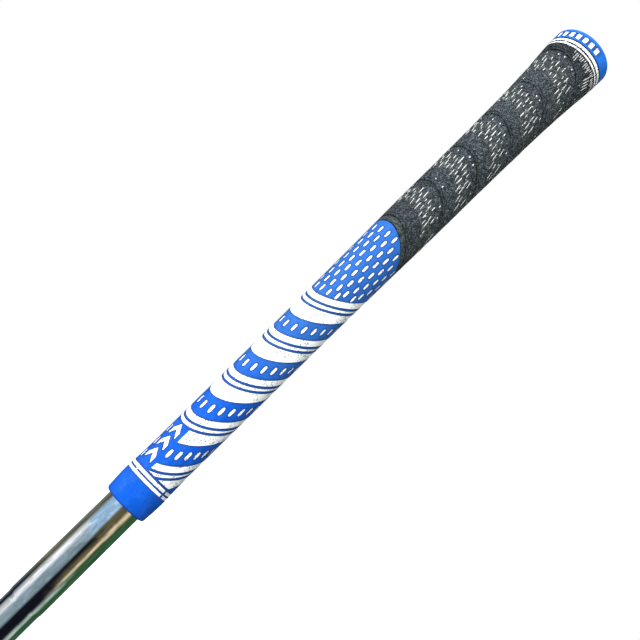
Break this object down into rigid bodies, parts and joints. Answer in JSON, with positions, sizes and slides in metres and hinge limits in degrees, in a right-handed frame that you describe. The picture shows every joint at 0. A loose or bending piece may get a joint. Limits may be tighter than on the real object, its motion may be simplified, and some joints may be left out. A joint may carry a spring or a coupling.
{
  "type": "golf grip",
  "caption": "Tapered golf grip with slanted filled bands below and a corded upper half, glued on a cut stub of stepped steel shaft and closed by a vented cap.",
  "frame": {"origin": "centre of the shaft's cut end", "axes": "+Z along the shaft towards the cap, -Y through the line near which the slanted bands reach lowest"},
  "size_m": [0.0284, 0.0284, 0.3633],
  "materials": {
    "blue_rubber": "satin moulded rubber",
    "black_rubber": "matte stippled rubber",
    "core_rubber": "matte rubber",
    "white_fill": "satin paint fill",
    "cord_cloth": "ground cord cloth with pale fibres",
    "tape_paper": "matte double-sided tape",
    "chromed_steel": "bright chrome"
  },
  "bodies": {
    "root": {"cap_mark_1": "white_fill", "cap_mark_2": "white_fill", "cap_mark_3": "white_fill", "cap_mark_4": "white_fill", "cap_mark_5": "white_fill", "cap_mark_6": "white_fill", "cap_mark_7": "white_fill", "cap_ring_1": "white_fill", "cap_ring_2": "white_fill", "cord_ply": "cord_cloth", "end_cap": "blue_rubber", "grip_tape": "tape_paper", "lower_sleeve": "blue_rubber", "mouth_ring_1": "white_fill", "mouth_ring_2": "white_fill", "panel_mark_1": "white_fill", "panel_mark_2": "white_fill", "panel_mark_3": "white_fill", "shaft_tube": "chromed_steel", "smooth_band_0": "black_rubber", "smooth_band_1": "black_rubber", "smooth_band_2": "black_rubber", "smooth_band_3": "black_rubber", "smooth_band_4": "black_rubber", "smooth_band_5": "black_rubber", "upper_core": "core_rubber", "white_mid_0": "white_fill", "white_mid_1": "white_fill", "white_mid_2": "white_fill", "white_mid_3": "white_fill", "white_mid_4": "white_fill", "white_stripe_0": "white_fill", "white_stripe_1": "white_fill", "white_stripe_2": "white_fill", "white_stripe_3": "white_fill", "white_stripe_4": "white_fill", "white_wide_0": "white_fill", "white_wide_1": "white_fill", "white_wide_2": "white_fill", "white_wide_3": "white_fill", "white_wide_4": "white_fill"}
  },
  "joints": []
}
